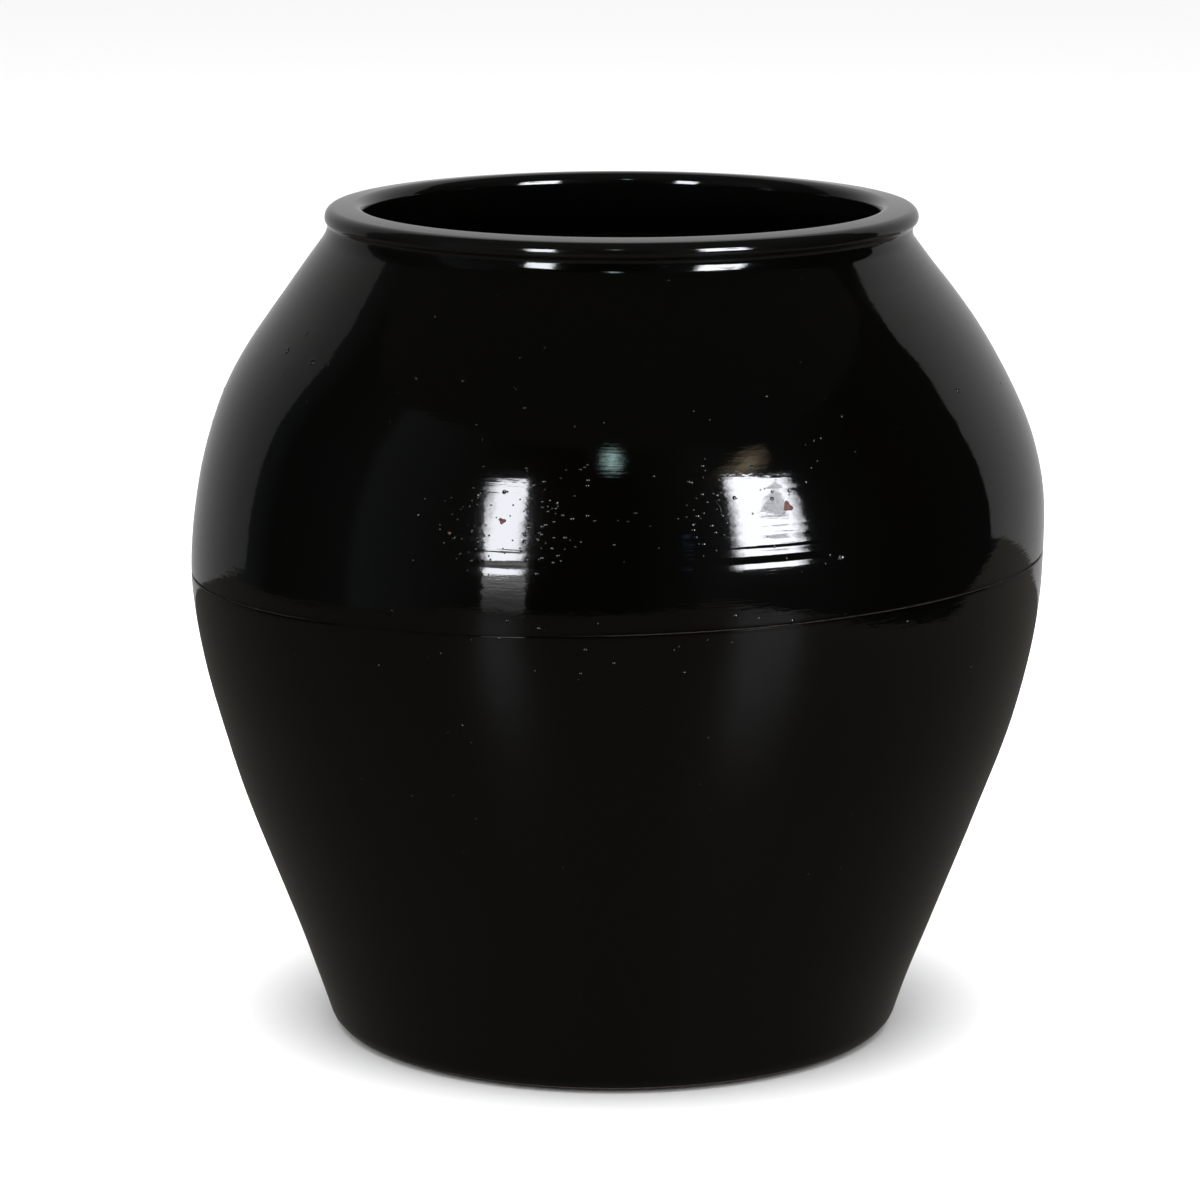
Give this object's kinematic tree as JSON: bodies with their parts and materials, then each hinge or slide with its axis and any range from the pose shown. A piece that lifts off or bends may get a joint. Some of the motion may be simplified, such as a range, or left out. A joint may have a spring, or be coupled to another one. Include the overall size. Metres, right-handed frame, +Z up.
{
  "type": "glazed clay jar",
  "caption": "Round-bellied open jar with a rolled lip, thrown in two sections and glazed glossy black, for storing food or holding a plant.",
  "frame": {"origin": "centre of the foot, on the surface that the jar stands on", "axes": "+Z up along the jar's axis, through the middle of the mouth"},
  "size_m": [0.4319, 0.432, 0.4205],
  "materials": {
    "bare_clay": "unglazed fired stoneware, dark brown, matte",
    "outer_glaze": "iron-black glaze, glossy, with pinholes and throwing marks",
    "inner_glaze": "iron-black glaze, glossy, thinner than outside"
  },
  "bodies": {
    "root": {"base_disc": "bare_clay", "corner_coil": "bare_clay", "lower_wall": "bare_clay", "seam_band": "bare_clay", "shoulder_wall": "bare_clay", "rim_coil": "bare_clay", "outer_glaze": "outer_glaze", "inner_glaze": "inner_glaze"}
  },
  "joints": []
}
